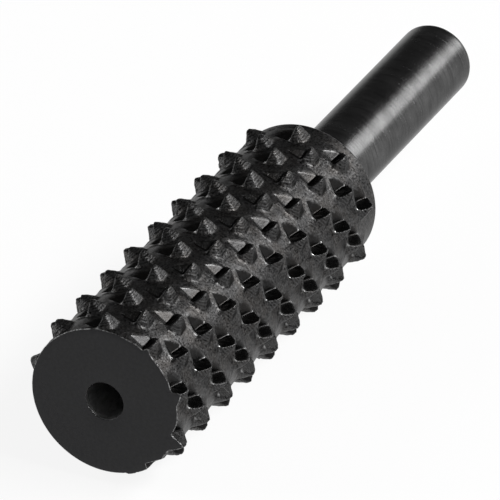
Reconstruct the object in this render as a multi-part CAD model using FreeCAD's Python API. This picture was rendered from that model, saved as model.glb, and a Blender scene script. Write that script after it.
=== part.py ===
import FreeCAD, Part
import math
import os

# Rotary rasp: a toothed steel drum pressed on a plain round shank.
# The axis of the tool is X. The origin is the centre of the front face, at the mouth of the
# front bore, and +X runs towards the tail of the shank. Millimetres and degrees.

# Head blank, a plain turned drum
drum_diameter = 11.7
head_length = 35.0
rear_edge_break = 0.2      # small chamfer round the rear face
facing_allowance = 2.0     # blank left in front of the face until the teeth are raised
land_length = 11.7         # the drum is turned in lands of this length, so that no face is too large

# Front bore, open into the socket behind it
bore_diameter = 3.0

# Shank, with a reduced spigot that is pressed into the head
shank_diameter = 6.0
shank_length = 25.0        # from the rear face of the head to the tail
tail_chamfer_length = 1.0
tail_chamfer_depth = 0.7
spigot_diameter = 5.0
spigot_length = 20.0
spigot_lead = 0.4          # chamfer that leads the spigot into the socket
socket_end_gap = 0.5       # left between the spigot and the bottom of the socket
press_clearance = 0.0      # the spigot fills the socket, as a press fit does

# Helix of teeth: one start, so the rows are staggered by half a tooth from turn to turn
helix_pitch = 2.0
teeth_per_turn = 9.508
first_tooth_x = 0.17       # the facing cut goes through the first teeth
first_tooth_angle = 234.35  # from +Y towards +Z
rear_margin = 1.6          # from the rear face to the middle of the last tooth, at least
tooth_skew = 5.5           # the punch stands a little across the axis

# One tooth: a faceted pimple raised from the drum, cut off in front by the leaning rake face
tooth_height = 0.93
tooth_base_radius = 1.0    # round the middle of its facets, at the drum surface
tooth_setback = 0.125      # from the rake line at the drum surface back to the pimple's axis
tooth_facets = 8           # all round, of which the rake face cuts off the front ones
rake_lean = 19.0           # the rake face leans back from the radius
tooth_root = 0.6           # depth to which the pimple is carried into the drum

# One gouge, the three-sided punch mark that ends at the rake face
gouge_length = 1.4
gouge_half_width = 0.78    # at the rake face, at the drum surface
gouge_depth = 0.38
gouge_overrun = 0.15       # its slopes run on above the drum surface by this share of their length
gouge_clearance = 0.4      # how far the punch reaches above the crest

drum_radius = drum_diameter / 2
bore_radius = bore_diameter / 2
shank_radius = shank_diameter / 2
spigot_radius = spigot_diameter / 2
socket_radius = spigot_radius + press_clearance
socket_depth = spigot_length + socket_end_gap
axial_step = helix_pitch / teeth_per_turn
angle_step = 360.0 / teeth_per_turn
toothed_length = head_length - rear_margin - first_tooth_x
tooth_count = int(toothed_length / axial_step) + 1

axis_x = FreeCAD.Vector(1, 0, 0)
centre = FreeCAD.Vector(0, 0, 0)


def turned(profile):
    """Solid of revolution round X from (x, radius) points, closed along the axis."""
    points = [FreeCAD.Vector(x, 0, radius) for x, radius in profile]
    face = Part.Face(Part.makePolygon(points + [points[0]]))
    return face.revolve(centre, axis_x, 360)


def solid_from_faces(corner_loops):
    """Solid closed by flat faces, each given as its loop of corners."""
    faces = []
    for loop in corner_loops:
        faces.append(Part.Face(Part.makePolygon(loop + [loop[0]])))
    return Part.Solid(Part.makeShell(faces))


def drum_blank():
    """Plain drum, longer at the front by the stock that is faced off later."""
    break_start = head_length - rear_edge_break
    land_count = int(head_length / land_length)
    lands = [(number * land_length, drum_radius) for number in range(1, land_count + 1)]
    profile = [
        (-facing_allowance, 0),
        (-facing_allowance, drum_radius),
        *lands,
        (break_start, drum_radius),
        (head_length, drum_radius - rear_edge_break),
        (head_length, 0),
    ]
    return turned(profile)


def rake_point(x, height):
    """Point of the rake face, which leans back towards -Y."""
    back = height * math.tan(math.radians(rake_lean))
    return FreeCAD.Vector(x, -back, drum_radius + height)


def raised_tooth():
    """Faceted pimple raised on top of the drum at X 0, cut off in front by the rake face."""
    lean = math.tan(math.radians(rake_lean))
    spread = (tooth_base_radius + tooth_setback) / tooth_height - lean
    apex_height = tooth_base_radius / spread
    foot_radius = spread * (apex_height + tooth_root) / math.cos(math.pi / tooth_facets)
    apex = FreeCAD.Vector(0, -tooth_setback, drum_radius + apex_height)
    foot = []
    for number in range(tooth_facets):
        turn = 2 * math.pi * (number + 0.5) / tooth_facets
        side = foot_radius * math.sin(turn)
        back = tooth_setback + foot_radius * math.cos(turn)
        foot.append(FreeCAD.Vector(side, -back, drum_radius - tooth_root))
    loops = [foot]
    for number in range(tooth_facets):
        loops.append([apex, foot[number - 1], foot[number]])
    reach = 4 * tooth_base_radius
    front = Part.makeBox(2 * reach, reach, 2 * reach, FreeCAD.Vector(-reach, 0, drum_radius - reach))
    front.rotate(FreeCAD.Vector(0, 0, drum_radius), axis_x, rake_lean)
    return solid_from_faces(loops).cut(front)


def gouge():
    """Three-sided punch mark in front of the rake face, carried up past the crest."""
    tip_drop = drum_radius - math.sqrt(drum_radius ** 2 - gouge_length ** 2)
    surface_tip = FreeCAD.Vector(0, gouge_length, drum_radius - tip_drop)
    lowest = rake_point(0, -gouge_depth)
    tip = surface_tip + (surface_tip - lowest) * gouge_overrun
    corner_height = gouge_depth * gouge_overrun
    corner_x = gouge_half_width * (1 + gouge_overrun)
    right = rake_point(corner_x, corner_height)
    left = rake_point(-corner_x, corner_height)
    top = tooth_height + gouge_clearance
    top_x = corner_x * (tip.y - rake_point(0, top).y) / (tip.y - right.y)
    tip_top = FreeCAD.Vector(0, tip.y, drum_radius + top)
    right_top = rake_point(top_x, top)
    left_top = rake_point(-top_x, top)
    return solid_from_faces([
        [tip_top, right_top, left_top],
        [tip_top, tip, right, right_top],
        [tip_top, left_top, left, tip],
        [tip, lowest, right],
        [tip, left, lowest],
        [right_top, right, lowest, left, left_top],
    ])


def along_helix(shape):
    """Copies of a shape on top of the drum, one at each place of the tooth helix."""
    copies = []
    for number in range(tooth_count):
        turn = first_tooth_angle - 90 - number * angle_step
        copy = shape.copy()
        copy.rotate(centre, FreeCAD.Vector(0, 0, 1), tooth_skew)
        copy.rotate(centre, axis_x, turn)
        copy.translate(FreeCAD.Vector(first_tooth_x + number * axial_step, 0, 0))
        copies.append(copy)
    return copies


def rasp_head():
    """Drum with its helix of raised teeth, faced at the front and bored from both ends."""
    toothed = drum_blank().fuse(along_helix(raised_tooth())).cut(along_helix(gouge()))
    tip_radius = drum_radius + tooth_height + gouge_clearance
    faced_off = Part.makeCylinder(
        tip_radius, 2 * facing_allowance, FreeCAD.Vector(-2 * facing_allowance, 0, 0), axis_x)
    bore = Part.makeCylinder(bore_radius, head_length, centre, axis_x)
    socket_mouth = FreeCAD.Vector(head_length, 0, 0)
    socket = Part.makeCylinder(socket_radius, socket_depth, socket_mouth, -axis_x)
    return toothed.cut([faced_off, bore, socket])


def shank():
    """Turned shank: spigot, shoulder against the head, straight round body, chamfered tail."""
    spigot_end = head_length - spigot_length
    tail = head_length + shank_length
    profile = [
        (spigot_end, 0),
        (spigot_end, spigot_radius - spigot_lead),
        (spigot_end + spigot_lead, spigot_radius),
        (head_length, spigot_radius),
        (head_length, shank_radius),
        (tail - tail_chamfer_length, shank_radius),
        (tail, shank_radius - tail_chamfer_depth),
        (tail, 0),
    ]
    return turned(profile)


os.makedirs("parts", exist_ok=True)
for name, piece in (("rasp_head", rasp_head()), ("shank", shank())):
    if not piece.isValid() or len(piece.Solids) != 1:
        raise ValueError(name + " is not one valid solid")
    piece.exportStep("parts/" + name + ".step")
    print(name, "volume", round(piece.Volume, 1), "faces", len(piece.Faces))
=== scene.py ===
import math

import bmesh
import bpy
import numpy as np
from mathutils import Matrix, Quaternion, Vector


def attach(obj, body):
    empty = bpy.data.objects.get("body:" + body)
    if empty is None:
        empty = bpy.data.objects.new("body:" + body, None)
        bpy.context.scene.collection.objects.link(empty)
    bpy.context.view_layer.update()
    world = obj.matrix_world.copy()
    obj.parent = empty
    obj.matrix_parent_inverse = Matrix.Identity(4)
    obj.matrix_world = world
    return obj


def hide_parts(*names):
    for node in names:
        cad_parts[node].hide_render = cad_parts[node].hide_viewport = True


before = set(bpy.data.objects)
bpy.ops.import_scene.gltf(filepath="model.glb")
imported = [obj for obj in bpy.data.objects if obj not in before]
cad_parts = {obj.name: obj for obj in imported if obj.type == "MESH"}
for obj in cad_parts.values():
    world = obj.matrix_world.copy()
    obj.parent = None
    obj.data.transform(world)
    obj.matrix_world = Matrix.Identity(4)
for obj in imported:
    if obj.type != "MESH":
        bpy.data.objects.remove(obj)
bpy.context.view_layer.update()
mm = 0.001

camera = {
    "place": (-515.16, -251.39, 326.41),
    "lookAt": (9.23, -7.34, 9.61),
    "turn": -0.55,   # degrees round the tool's axis, so that the teeth stand as in the photograph
    "lens": 655.62,
    "sensor": 36.0,
}


def aimed(thing, place, lookAt, turn=0.0):
    way = (Vector(lookAt) - Vector(place)).to_track_quat("-Z", "Y")
    roll = Quaternion((1, 0, 0), math.radians(turn))   # round the axis of the tool
    thing.location = roll @ Vector(place) * mm
    thing.rotation_mode = "QUATERNION"
    thing.rotation_quaternion = roll @ way


def linked(name, data):
    thing = bpy.data.objects.new(name, data)
    bpy.context.scene.collection.objects.link(thing)
    return thing


def setCamera():
    data = bpy.data.cameras.new("photoCamera")
    data.lens = camera["lens"]
    data.sensor_width = camera["sensor"]
    data.clip_start = 0.01
    data.clip_end = 20
    view = linked("photoCamera", data)
    aimed(view, camera["place"], camera["lookAt"], camera["turn"])
    bpy.context.scene.camera = view
    print("camera set")


# shader nodes, written as expressions
class Value:   # wraps a socket, so that maths on it adds the nodes
    def __init__(self, finish, socket):
        self.finish = finish
        self.socket = socket

    def maths(self, operation, first, second=0.0, third=0.0):
        return self.finish.add("Math", {"operation": operation}, {0: first, 1: second, 2: third})

    def __add__(self, other):
        return self.maths("ADD", self, other)

    def __radd__(self, other):
        return self.maths("ADD", other, self)

    def __sub__(self, other):
        return self.maths("SUBTRACT", self, other)

    def __rsub__(self, other):
        return self.maths("SUBTRACT", other, self)

    def __mul__(self, other):
        return self.maths("MULTIPLY", self, other)

    def __rmul__(self, other):
        return self.maths("MULTIPLY", other, self)

    def __gt__(self, other):
        return self.maths("GREATER_THAN", self, other)

    def __lt__(self, other):
        return self.maths("LESS_THAN", self, other)

    def atLeast(self, other):
        return self.maths("MAXIMUM", self, other)

    def atMost(self, other):
        return self.maths("MINIMUM", self, other)

    def sine(self):
        return self.maths("SINE", self)


class Finish:   # the nodes of a material or of the air, and the one way of adding to them
    def __init__(self, owner):
        owner.use_nodes = True
        self.owner = owner
        self.nodes = owner.node_tree.nodes
        self.links = owner.node_tree.links
        self.nodes.clear()

    def add(self, kind, settings, sockets, out=0):
        node = self.nodes.new("ShaderNode" + kind)
        for name, setting in settings.items():
            if name == "stops":
                self.setStops(node.color_ramp, setting)
            else:
                setattr(node, name, setting)
        for name, given in sockets.items():
            socket = node.inputs[name] if isinstance(name, int) else self.named(node, name)
            if isinstance(given, Value):
                self.links.new(given.socket, socket)
            else:
                socket.default_value = given
        return Value(self, node.outputs[out]) if len(node.outputs) else None

    def named(self, node, name):
        for socket in node.inputs:
            if socket.enabled and socket.name == name:
                return socket
        raise KeyError(name)

    def setStops(self, ramp, stops):
        while len(ramp.elements) > 1:
            ramp.elements.remove(ramp.elements[0])
        for number, (position, grey) in enumerate(stops):
            stop = ramp.elements[0] if number == 0 else ramp.elements.new(position)
            stop.position = position
            stop.color = (grey, grey, grey, 1)

    def mixed(self, share, first, second):
        return self.add("Mix", {"data_type": "RGBA"}, {"Factor": share, "A": first, "B": second}, 2)

    def ramp(self, value, stops):
        return self.add("ValToRGB", {"stops": stops}, {"Fac": value})

    def attribute(self, name):
        return self.add("Attribute", {"attribute_name": name}, {}, 2)

    def place(self, scale):
        point = self.add("TexCoord", {}, {}, 3)
        return self.add("VectorMath", {"operation": "MULTIPLY"}, {0: point, 1: scale})

    def noise(self, vector, scale, detail=3.0, roughness=0.55):
        return self.add("TexNoise", {}, {
            "Vector": vector, "Scale": scale, "Detail": detail, "Roughness": roughness})

    def surface(self, sockets):
        shader = self.add("BsdfPrincipled", {}, sockets)
        self.add("OutputMaterial", {}, {"Surface": shader})
        return self.owner


oxideAndPaintedLight = {
    "dark": (0.022, 0.022, 0.0225, 1),
    "light": (0.086, 0.086, 0.087, 1),
    # pale: real rubbed flecks and edges, and a painted highlight along the tooth crests
    "wearAndPaintedSheen": (0.19, 0.19, 0.19, 1),
    "face": (0.037, 0.037, 0.038, 1),
    "brown": (0.034, 0.028, 0.023, 1),
    # near black: real dark specks on the drum, and painted shade on the rake faces, crests, gouges and tooth
    # backs
    "rake": (0.007, 0.007, 0.007, 1),
    # painted light: pale, so that the inside of the bore, which little light reaches, shows lit
    "bore": (0.35, 0.35, 0.35, 1),
    "burr": (0.55, 0.55, 0.55, 1),
    "shankDark": (0.058, 0.058, 0.058, 1),
    "shankLight": (0.140, 0.140, 0.140, 1),
}


headLook = {
    "blotchScale": 0.7,    # noises, to the millimetre
    "grainScale": 3.6,
    "speckScale": 6.8,
    "faceDepth": 0.03,     # mm: what lies before this is the turned front face
    "rimDepth": (0.003, 0.06),
    "rimRadius": 3.0,
    "boreRadius": 1.51,
    "grooves": 48,         # on the back of a tooth
    "bumpStrength": 0.6,
    "bumpDepth": 0.00004,
    "tint": (0.75, 0.75, 0.75, 1),
}


def headFinish():
    look = headLook
    finish = Finish(bpy.data.materials.new("blackOxideHeadAndPaintedLight"))
    point = finish.place((1000, 1000, 1000))   # millimetres
    along = finish.add("SeparateXYZ", {}, {0: point})
    across = finish.place((0, 1000, 1000))
    fromAxis = finish.add("VectorMath", {"operation": "LENGTH"}, {0: across}, 1)
    crest, pocket, rake, edge, away, back, burr = [finish.attribute(name) for name in toothMasks]
    blotch = finish.noise(point, look["blotchScale"], 3)
    grain = finish.noise(point, look["grainScale"], 4, 0.7)
    speck = finish.noise(point, look["speckScale"], 2, 0.6)
    scuff = finish.ramp(grain, [(0.42, 0.0), (0.6, 1.0)])
    face = along < look["faceDepth"]
    plain = (1 - pocket) * (1 - face)
    rim = (along > look["rimDepth"][0]) * (along < look["rimDepth"][1])
    rim = rim * (fromAxis > look["rimRadius"])   # the turned edge of the front face
    lines = (away * look["grooves"] + grain * 8.0 + blotch * 6.0).sine() * back
    lightness = finish.ramp(blotch * 0.4 + grain * 0.6, [(0.33, 0.1), (0.5, 0.55), (0.66, 1.0)])
    colour = finish.mixed(lightness, oxideAndPaintedLight["dark"], oxideAndPaintedLight["light"])
    layers = [   # laid on in this order
        (finish.ramp(blotch, [(0.42, 0.1), (0.62, 0.5)]), "brown"),
        (finish.ramp(speck, [(0.38, 1.0), (0.455, 0.0)]) * plain, "rake"),
        (finish.ramp(speck, [(0.55, 0.0), (0.68, 0.4)]) * plain, "wearAndPaintedSheen"),
        # painted shade: the gouges and the backs of the teeth are darkened towards near black
        (pocket * 0.6 + back * 0.32, "rake"),
        ((lines * 0.6).atLeast(0.0), "light"),
        # painted highlight: the tooth crests are lightened, broken up by the scuff grain
        (crest * scuff * 0.2, "wearAndPaintedSheen"),
        (edge * scuff * 0.5, "wearAndPaintedSheen"),
        # painted shade: the rake faces and the tooth crests are laid near black
        ((rake + crest * 0.35).atMost(1.0) * (1 - edge) * 0.75, "rake"),
        (burr * 0.8, "burr"),
        (face, "face"),
        # painted light: the inside of the bore is coloured pale, as if lit
        (fromAxis < look["boreRadius"], "bore"),
        (rim * scuff * 0.5, "burr"),
    ]
    for share, layer in layers:
        colour = finish.mixed(share, colour, oxideAndPaintedLight[layer])
    rough = (0.38 + (grain - 0.5) * 0.3 - pocket * 0.14 + rake * 0.02
             + face * 0.2 - back * 0.02)
    height = grain * 0.8 + speck * 0.5 * (1 - pocket * 0.6) + lines * 0.24
    bump = finish.add("Bump", {}, {
        "Strength": look["bumpStrength"], "Distance": look["bumpDepth"], "Height": height})
    return finish.surface({"Base Color": colour, "Metallic": 1.0, "Roughness": rough,
                           "Specular Tint": look["tint"], "Normal": bump})


shankLook = {
    "marks": (6400, 450, 450),   # turning marks run round the shank
    "blotchScale": 0.45,
    "grainScale": 8.0,
    "speckScale": 20.0,
    "bumpStrength": 0.5,
    "bumpDepth": 0.000014,
    "tint": (0.55, 0.55, 0.55, 1),
}


def shankFinish():
    look = shankLook
    finish = Finish(bpy.data.materials.new("blackOxideShank"))
    point = finish.place((1000, 1000, 1000))
    turned = finish.noise(finish.place(look["marks"]), 1.0, 4, 0.6)
    blotch = finish.noise(point, look["blotchScale"], 3)
    grain = finish.noise(point, look["grainScale"], 4, 0.65)
    speck = finish.noise(point, look["speckScale"], 2, 0.6)
    lightness = finish.ramp(blotch * 0.6 + grain * 0.4, [(0.35, 0.2), (0.5, 0.55), (0.65, 1.0)])
    colour = finish.mixed(lightness, oxideAndPaintedLight["shankDark"], oxideAndPaintedLight["shankLight"])
    flecks = finish.ramp(speck, [(0.66, 0.0), (0.72, 0.4)])
    colour = finish.mixed(flecks, colour, oxideAndPaintedLight["light"])
    grooves = finish.ramp(turned, [(0.36, 0.7), (0.5, 0.0)])
    colour = finish.mixed(grooves, colour, oxideAndPaintedLight["shankDark"])
    rough = 0.23 + (grain - 0.5) * 0.12 + (turned - 0.5) * 0.2
    height = turned * 0.6 + grain * 0.3 + speck * 0.15
    bump = finish.add("Bump", {}, {
        "Strength": look["bumpStrength"], "Distance": look["bumpDepth"], "Height": height})
    return finish.surface({"Base Color": colour, "Metallic": 1.0, "Roughness": rough,
                           "Specular Tint": look["tint"], "Normal": bump})


studio = {
    "floorRadius": 3.0,        # metres
    "floorLevel": -6.8,        # mm, under the lowest tooth tips
    "paper": (0.9, 0.9, 0.9, 1),
    "whiteShare": 0.88,        # of the floor as the camera sees it; the rest keeps the shadow
    "rise": (0, 0.25, 1),      # the pale horizon stands higher on one side
    "sky": [(0.06, 1.0), (0.24, 0.12)],   # from the horizon up
    "skyStrength": 0.9,
}

lamps = {   # place, aim and size in millimetres, watts
    "softbox": ((150, -500, 560), (10, 0, 0), (560, 220), 5.8),
    "fill": ((-150, 600, 300), (10, 0, 0), (400, 400), 1.6),
    "strip": ((500, -285, 265), (20, 0, 0), (225, 300), 0.95),
}


def setFloor():
    mesh = bmesh.new()
    bmesh.ops.create_circle(mesh, cap_ends=True, segments=96, radius=studio["floorRadius"])
    data = bpy.data.meshes.new("paleFloor")
    mesh.to_mesh(data)
    mesh.free()
    floor = linked("paleFloor", data)
    floor.location.z = studio["floorLevel"] * mm
    finish = Finish(bpy.data.materials.new("palePaper"))
    paper = finish.add("BsdfPrincipled", {}, {"Base Color": studio["paper"], "Roughness": 0.9})
    white = finish.add("Emission", {}, {"Color": (1, 1, 1, 1), "Strength": 1.0})
    seen, mirrored, through = [finish.add("LightPath", {}, {}, out) for out in (0, 3, 6)]
    share = (seen + mirrored + through).atMost(1.0) * studio["whiteShare"]
    shader = finish.add("MixShader", {}, {0: share, 1: paper, 2: white})
    finish.add("OutputMaterial", {}, {"Surface": shader})
    data.materials.append(finish.owner)


def setWorld():
    world = bpy.data.worlds.new("studioAir")
    bpy.context.scene.world = world
    air = Finish(world)
    way = air.add("TexCoord", {}, {})
    rise = air.add("VectorMath", {"operation": "DOT_PRODUCT"}, {0: way, 1: studio["rise"]}, 1)
    glow = air.ramp(rise, studio["sky"])
    sky = air.add("Background", {}, {"Color": glow, "Strength": studio["skyStrength"]})
    air.add("OutputWorld", {}, {"Surface": sky})


def setLamp(name, place, lookAt, size, energy):
    data = bpy.data.lights.new(name, "AREA")
    data.shape = "RECTANGLE"
    data.size = size[0] * mm
    data.size_y = size[1] * mm
    data.energy = energy
    lamp = linked(name, data)
    aimed(lamp, place, lookAt)


# the toothed head: sizes in millimetres, angles in degrees
toothedHead = {
    "radius": 5.85,
    "length": 35.0,
    "pitch": 2.0,
    "teethPerTurn": 9.508,
    "firstX": 0.17,
    "firstAngle": 234.35,
    "lastTooth": 158,
    "skew": 5.5,
    "coneHeight": 1.05,
    "coneBulge": 1.55,     # over 1, the back and the sides swell out
    "coneReach": 1.0,      # along the turning
    "coneSide": 1.12,      # along the axis
    "coneCorner": 0.42,    # where the flat back of the tooth turns into its flanks
    "coneFront": 0.8,
    "coneSoft": 0.20,
    "setback": 0.125,
    "crestRound": 0.44,
    "rakeSlope": 0.344,
    "gougeLength": 1.4,
    "gougeHalf": 0.78,
    "gougeDepth": 0.38,
    "noseReach": 1.05,
    "swell": 0.08,
    "ridge": 0.045,
    "jag": 0.055,
    "burrHeight": 0.07,    # the two corners of the gouge at the foot of the rake face
    "faceBreak": 0.05,
    "rearBreak": 0.22,
    "boreRadius": 1.5,
    "boreDepth": 14.5,
    "socketRadius": 2.5,
    "seed": 11,
}

toothMasks = ("crest", "pocket", "rake", "edge", "away", "back", "burr")

# the rows of one cell, round the drum: before the gouge, gouge, rake face, back, behind the nose
landRows = (0.0, 0.5)
gougeRows = (0.0, 0.09, 0.19, 0.3, 0.41, 0.52, 0.62, 0.71, 0.79, 0.86, 0.92, 0.965)
rakeRows = (0.0, 0.05, 0.12, 0.22, 0.34, 0.47, 0.6, 0.72, 0.83, 0.91, 0.965)
backRows = (0.0, 0.035, 0.09, 0.17, 0.26, 0.35, 0.44, 0.53, 0.62, 0.71, 0.8, 0.88, 0.95)
noseRows = (0.0, 0.12, 0.35, 0.68)
innerShares = (0.0, 0.12, 0.26, 0.41, 0.56, 0.71, 0.86, 1.0)   # columns, from the middle out
outerShares = (0.36, 0.7, 1.0)


def smoothMin(a, b, soft):
    share = np.clip(0.5 + 0.5 * (b - a) / soft, 0, 1)
    return b + (a - b) * share - soft * share * (1 - share)


def smoothMax(a, b, soft):
    return -smoothMin(-a, -b, soft)


def smoothStep(low, high, value):
    share = np.clip((value - low) / (high - low), 0, 1)
    return share * share * (3 - 2 * share)


def fromMiddle(x, y):   # 0 on the axis of the tooth, 1 where it meets the drum
    shape = toothedHead
    across = np.sqrt((x / shape["coneSide"]) ** 2 + 0.0009)
    along = (y - shape["setback"]) / shape["coneReach"]
    behind = across + shape["coneCorner"] * along
    before = across - shape["coneFront"] * along
    flank = smoothMax(behind, before, shape["coneSoft"])
    return np.maximum(smoothMax(along, flank, shape["coneSoft"]), 0)


def toothLines(x):   # foot and crest of the rake face and the nose, at x from the middle
    shape = toothedHead
    side = np.minimum(np.abs(x), 0.84)
    drop = shape["radius"] - math.sqrt(shape["radius"] ** 2 - shape["gougeLength"] ** 2)
    bottom = -shape["rakeSlope"] * shape["gougeDepth"]
    fall = (drop - shape["gougeDepth"]) / (shape["gougeLength"] + bottom)
    climb = (drop - fall * shape["gougeLength"]) / shape["gougeHalf"]
    foot = (-drop + fall * shape["gougeLength"] + climb * side) / (1 / shape["rakeSlope"] - fall)
    crest = foot + 0.1
    for step in range(12):   # the crest lies where the rake face meets the cone
        away = fromMiddle(side, crest) ** shape["coneBulge"]
        crest = 0.5 * crest + 0.5 * shape["rakeSlope"] * shape["coneHeight"] * (1 - away)
    crest = np.maximum(crest, foot + 0.02)
    corner = (1.02 - np.abs(x) / shape["coneSide"]) / shape["coneCorner"]
    nose = shape["setback"] + shape["noseReach"] * smoothMin(corner, np.ones_like(x), 0.15)
    return foot, crest, nose, (drop, fall, climb)


def wavy(x, phases, rates):
    total = 0
    for number, rate in enumerate(rates):
        total = total + np.sin(rate * x + phases[..., number]) / (1 + 0.4 * number)
    return total


def surfaceHeight(x, y, tooth):   # height over the plane that touches the drum above the tooth, and masks
    shape = toothedHead
    radius = shape["radius"]
    drop, fall, climb = toothLines(np.zeros(1))[3]
    drum = np.sqrt(radius ** 2 - np.clip(y, -3, 3) ** 2) - radius
    lift = np.exp(-(x / 1.05) ** 6 - ((y - 0.05) / 1.0) ** 4) * shape["swell"]
    roughX = wavy(x, tooth["crestPhase"], (9.0, 17.0, 29.0)) * shape["jag"] * 0.3
    roughY = wavy(y, tooth["sidePhase"], (8.0, 19.0, 31.0)) * shape["jag"] * 0.3
    away = fromMiddle(x, y)
    cone = shape["coneHeight"] * tooth["tall"] * (1 - away ** shape["coneBulge"]) + roughX * np.exp(-x * x * 2)
    wave = (away * 3.4 + tooth["ridgePhase"] + roughX * 2) % 1.0
    step = np.where(wave < 0.8, wave / 0.8, (1 - wave) / 0.2)
    onBack = smoothStep(0.22, 0.4, away) * smoothStep(1.2, 0.95, away) * smoothStep(0.1, 0.35, y)
    cone = cone + (step - 0.5) * shape["ridge"] * onBack * tooth["ridged"]
    body = smoothMax(drum + lift, cone, 0.07)
    rake = (y + roughX * 0.5 + roughY * 0.15) / shape["rakeSlope"]
    trough = np.sqrt(x * x + 0.0016)
    gouge = -drop + fall * (y + shape["gougeLength"]) + climb * trough
    gouge = gouge + (1 - tooth["deep"]) * 0.3 + roughY * 0.12
    punch = smoothMax(gouge, rake, 0.2)
    soft = 0.05 + shape["crestRound"] * smoothStep(0.1, 0.5, body - drum)
    height = smoothMin(body, punch, soft)
    inPunch = smoothStep(-0.03, 0.03, body - punch)
    onRake = inPunch * smoothStep(-0.1, 0.1, rake - gouge)
    crest = np.exp(-((cone - rake) / 0.16) ** 2) * smoothStep(0.05, 0.3, height - drum)
    edge = np.exp(-((body - punch) / 0.045) ** 2) * (1 - smoothStep(0.02, 0.3, height - drum))
    back = (1 - inPunch) * smoothStep(0.03, 0.15, cone - drum - lift)
    burr = np.exp(-((np.abs(x) - 0.88) / 0.08) ** 2 - ((y + 0.03) / 0.09) ** 2)
    burr = burr * tooth["burred"] * np.where(x < 0, 1.0, 0.4)
    height = height + burr * shape["burrHeight"]
    return height, {"crest": crest, "pocket": inPunch, "rake": onRake, "edge": edge, "away": away,
                    "back": back, "burr": burr}


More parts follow.
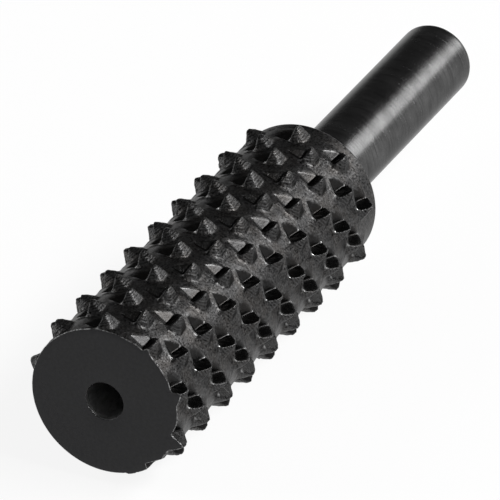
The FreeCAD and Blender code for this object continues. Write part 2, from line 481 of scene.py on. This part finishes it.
def headGrid():   # points and quads of the toothed surface, with a mask for each point
    shape = toothedHead
    chance = np.random.RandomState(shape["seed"])
    radius = shape["radius"]
    cellHalf = math.pi * radius / shape["teethPerTurn"]
    stepX = shape["pitch"] / shape["teethPerTurn"]
    stepTurn = 2 * math.pi / shape["teethPerTurn"]
    lean = stepX / (2 * cellHalf)   # the band of teeth runs a little across the turning
    rows = ([("land", share) for share in landRows] + [("gouge", share) for share in gougeRows]
            + [("rake", share) for share in rakeRows] + [("back", share) for share in backRows]
            + [("nose", share) for share in noseRows])
    count = len(rows)
    first, last = -16, 182   # cells past both ends, which the facing cuts off
    numbers = np.arange(last, first - 1, -1)   # the far cell first, so that the rows follow the turning
    sides = [-1 - share for share in reversed(outerShares)] + [-share for share in reversed(innerShares[1:])]
    sides = sides + [0.0] + [share for share in innerShares[1:]] + [1 + share for share in outerShares]
    sides = np.array(sides)
    inner = np.clip(sides, -1, 1)
    outer = np.clip(np.abs(sides) - 1, 0, 1)
    cells = len(numbers)
    tooth = {
        "tall": 1 + 0.035 * chance.randn(cells, 1),
        "deep": 1 + 0.10 * chance.randn(cells, 1),
        "ridged": 0.7 + 0.6 * chance.rand(cells, 1),
        "ridgePhase": chance.rand(cells, 1),
        "burred": 0.35 + 0.65 * chance.rand(cells, 1),
        "crestPhase": chance.rand(cells, 1, 3) * 6.283,
        "sidePhase": chance.rand(cells, 1, 3) * 6.283,
        "moveX": 0.02 * chance.randn(cells, 1),
        "moveY": 0.025 * chance.randn(cells, 1),
    }
    tooth["tall"][numbers == 0] = 0.05   # turned away with the facing, only its gouge is left
    toothed = ((numbers >= 0) & (numbers <= shape["lastTooth"]))[:, None]
    span = len(sides)
    x = np.zeros((cells, count, span))
    turn = np.zeros((cells, count, span))
    away = np.full((cells, count, span), radius)
    masks = {name: np.zeros((cells, count, span)) for name in toothMasks}
    skew = math.radians(shape["skew"])
    for row, (kind, share) in enumerate(rows):
        even = -cellHalf + 2 * cellHalf * row / count
        half, turned = 0.82, 1.0
        if kind == "land":
            half, turned = (0.5, 0.0) if share == 0 else (0.24, 0.5)
        elif kind == "gouge":
            half = max(0.07, 0.82 * share ** 0.95)
        elif kind == "nose":
            half, turned = 0.82 - 0.32 * share, 1 - share
        sideX = inner * half
        foot, crest, nose, _ = toothLines(sideX)
        if kind == "land":
            sideY = np.full(span, -cellHalf + share * (cellHalf - shape["gougeLength"]))
        elif kind == "gouge":
            sideY = -shape["gougeLength"] + share * (shape["gougeLength"] + foot)
        elif kind == "rake":
            sideY = foot + share * (crest - foot)
        elif kind == "back":
            sideY = crest + share * (nose - crest)
        else:
            sideY = nose + share * (cellHalf - nose)
        slant = skew * turned
        follow = lean * (1 - turned)
        bandX = sideX * math.cos(slant) + sideY * math.sin(slant) - follow * sideY
        bandY = sideY * math.cos(slant) - sideX * math.sin(slant)
        borderX = np.sign(sides) - lean * even
        bandX = bandX + (borderX - bandX) * outer
        bandY = bandY + (even - bandY) * outer
        ownX = bandX * math.cos(skew) - bandY * math.sin(skew)
        ownY = bandY * math.cos(skew) + bandX * math.sin(skew)
        height, marks = surfaceHeight(ownX[None] - tooth["moveX"], ownY[None] - tooth["moveY"], tooth)
        angle = np.arctan2(bandY[None] + 0 * height, radius + height)
        reach = np.hypot(bandY[None], radius + height)
        flatAngle = np.arctan2(bandY, np.sqrt(radius ** 2 - bandY ** 2))
        calm = smoothStep(1.0, 0.45, outer)[None] * toothed
        if kind in ("land", "nose"):
            calm = calm * turned ** 0.5
        evenAngle = np.where(outer > 0.999, even / radius, flatAngle)
        x[:, row] = bandX
        turn[:, row] = evenAngle + (angle - evenAngle) * calm
        away[:, row] = radius + (reach - radius) * calm
        for name in masks:
            masks[name][:, row] = marks[name] * (calm if name != "away" else 1)
    centreX = shape["firstX"] + numbers * stepX
    centreTurn = math.radians(shape["firstAngle"]) - numbers * stepTurn
    x = (x + centreX[:, None, None]).reshape(cells * count, span)
    turn = (turn + centreTurn[:, None, None]).reshape(cells * count, span)
    away = away.reshape(cells * count, span)
    points = np.stack([x, away * np.cos(turn), away * np.sin(turn)], 2)
    length = cells * count
    shift = int(round(9.5 * count))
    ids = np.arange(length * (span - 1)).reshape(length, span - 1)
    ends = np.zeros(length, int)
    ends[shift:] = ids[:length - shift, 0]
    ends[:shift] = length * (span - 1) + np.arange(shift)
    full = np.concatenate([ids, ends[:, None]], 1)
    flat = np.concatenate([points[:, :-1].reshape(-1, 3), points[:shift, -1]])
    marks = {name: np.concatenate([mask.reshape(length, span)[:, :-1].reshape(-1),
                                   mask.reshape(length, span)[:shift, -1]]) for name, mask in masks.items()}
    quads = np.stack([full[:-1, :-1], full[:-1, 1:], full[1:, 1:], full[1:, :-1]], 2).reshape(-1, 4)
    return flat, quads, marks


def ringOf(mesh, x):   # the points of the cut at x, in order round the axis
    found = [point for point in mesh.verts if abs(point.co.x - x * mm) < 1e-7 and point.is_boundary]
    return sorted(found, key=lambda point: math.atan2(point.co.z, point.co.y))


def stepIn(mesh, ring, x, radius, share=None):   # a next ring of points, joined to the last by quads
    made = []
    for point in ring:
        angle = math.atan2(point.co.z, point.co.y)
        reach = math.hypot(point.co.y, point.co.z) / mm
        reach = radius if share is None else reach + (radius - reach) * share
        made.append(mesh.verts.new((x * mm, reach * mm * math.cos(angle), reach * mm * math.sin(angle))))
    for number in range(len(ring)):
        following = (number + 1) % len(ring)
        mesh.faces.new((ring[number], ring[following], made[following], made[number]))
    return made


def makeHead():
    shape = toothedHead
    points, quads, masks = headGrid()
    data = bpy.data.meshes.new("toothedHead")
    data.from_pydata((points * mm).tolist(), [], quads.tolist())
    for name, mask in masks.items():
        data.attributes.new(name, "FLOAT", "POINT").data.foreach_set("value", mask.astype(np.float32))
    mesh = bmesh.new()
    mesh.from_mesh(data)
    front, rear = shape["faceBreak"], shape["length"] - shape["rearBreak"]
    for x, way in ((front, -1), (rear, 1)):
        everything = mesh.verts[:] + mesh.edges[:] + mesh.faces[:]
        bmesh.ops.bisect_plane(mesh, geom=everything, dist=1e-8, plane_co=(x * mm, 0, 0),
                               plane_no=(way, 0, 0), clear_outer=True)
    ring = ringOf(mesh, front)
    ring = stepIn(mesh, ring, 0.03, 0, 0.003)
    ring = stepIn(mesh, ring, 0.0, 0, 0.008)
    for share in (0.12, 0.3, 0.5):
        ring = stepIn(mesh, ring, 0.0, shape["boreRadius"] + 0.08, share)
    ring = stepIn(mesh, ring, 0.0, shape["boreRadius"] + 0.08)
    ring = stepIn(mesh, ring, 0.025, shape["boreRadius"] + 0.02)
    ring = stepIn(mesh, ring, 0.08, shape["boreRadius"])
    ring = stepIn(mesh, ring, shape["boreDepth"], shape["boreRadius"])
    ring = stepIn(mesh, ring, shape["boreDepth"], shape["socketRadius"])
    inside = stepIn(mesh, ring, shape["length"] - 1.0, shape["socketRadius"])
    ring = ringOf(mesh, rear)
    ring = stepIn(mesh, ring, rear + 0.1, shape["radius"] - 0.03)
    ring = stepIn(mesh, ring, shape["length"] - 0.03, shape["radius"] - 0.11)
    ring = stepIn(mesh, ring, shape["length"], shape["radius"] - 0.24)
    ring = stepIn(mesh, ring, shape["length"], shape["socketRadius"], 0.5)
    ring = stepIn(mesh, ring, shape["length"], shape["socketRadius"])
    outside = stepIn(mesh, ring, shape["length"] - 0.9, shape["socketRadius"])
    edges = [edge for edge in mesh.edges if edge.is_boundary]
    bmesh.ops.bridge_loops(mesh, edges=edges)
    bmesh.ops.recalc_face_normals(mesh, faces=mesh.faces)
    for face in mesh.faces:
        face.smooth = True
    for edge in mesh.edges:
        if len(edge.link_faces) == 2 and edge.calc_face_angle(0) > math.radians(50):
            edge.smooth = False
    print("head", len(mesh.verts), "points", len(mesh.faces), "faces",
          sum(edge.is_boundary for edge in mesh.edges), "open edges")
    mesh.to_mesh(data)
    mesh.free()
    head = linked("toothed_head", data)
    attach(head, "root")
    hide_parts("rasp_head")
    return head


tailShank = {
    "spigotEnd": 15.0,
    "spigotRadius": 2.5,
    "shoulder": 35.0,
    "radius": 3.0,
    "tail": 60.0,
    "bevel": 0.25,
    "segments": 192,
}


def makeShank():
    shape = tailShank
    radius, tail = shape["radius"], shape["tail"]
    bevel = shape["bevel"]
    profile = [
        (shape["spigotEnd"], 0), (shape["spigotEnd"], shape["spigotRadius"] - 0.4),
        (shape["spigotEnd"] + 0.4, shape["spigotRadius"]), (shape["shoulder"], shape["spigotRadius"]),
        (shape["shoulder"], radius - 0.03), (shape["shoulder"] + 0.03, radius),
        (tail - 1.0 - bevel, radius), (tail - 1.0 - bevel * 0.3, radius - bevel * 0.05),
        (tail - 1.0 + bevel * 0.3, radius - bevel * 0.3), (tail - bevel * 0.9, radius - 0.7 + bevel * 0.55),
        (tail - bevel * 0.3, radius - 0.7 - bevel * 0.1), (tail, radius - 0.7 - bevel * 0.6),
        (tail, radius * 0.4), (tail, 0),
    ]
    mesh = bmesh.new()
    rings = []
    for x, reach in profile:
        count = 1 if reach == 0 else shape["segments"]
        ring = []
        for number in range(count):
            angle = 2 * math.pi * number / count
            ring.append(mesh.verts.new((x * mm, reach * mm * math.cos(angle), reach * mm * math.sin(angle))))
        rings.append(ring)
    for first, second in zip(rings, rings[1:]):
        for number in range(shape["segments"]):
            following = (number + 1) % shape["segments"]
            corners = [first[number % len(first)], first[following % len(first)],
                       second[following % len(second)], second[number % len(second)]]
            mesh.faces.new(list(dict.fromkeys(corners)))
    bmesh.ops.recalc_face_normals(mesh, faces=mesh.faces)
    for face in mesh.faces:
        face.smooth = True
    for line in mesh.edges:
        if len(line.link_faces) == 2 and line.calc_face_angle(0) > math.radians(40):
            line.smooth = False
    data = bpy.data.meshes.new("plainShank")
    mesh.to_mesh(data)
    mesh.free()
    shank = linked("plain_shank", data)
    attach(shank, "root")
    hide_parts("shank")
    return shank


setCamera()
setFloor()
setWorld()
bpy.context.scene.view_settings.view_transform = "Standard"
for name, (place, lookAt, size, energy) in lamps.items():
    setLamp(name, place, lookAt, size, energy)
print("floor, air and", len(lamps), "lamps set")
head = makeHead()
head.data.materials.append(headFinish())
print("head finished")
shank = makeShank()
shank.data.materials.append(shankFinish())
print("shank finished")
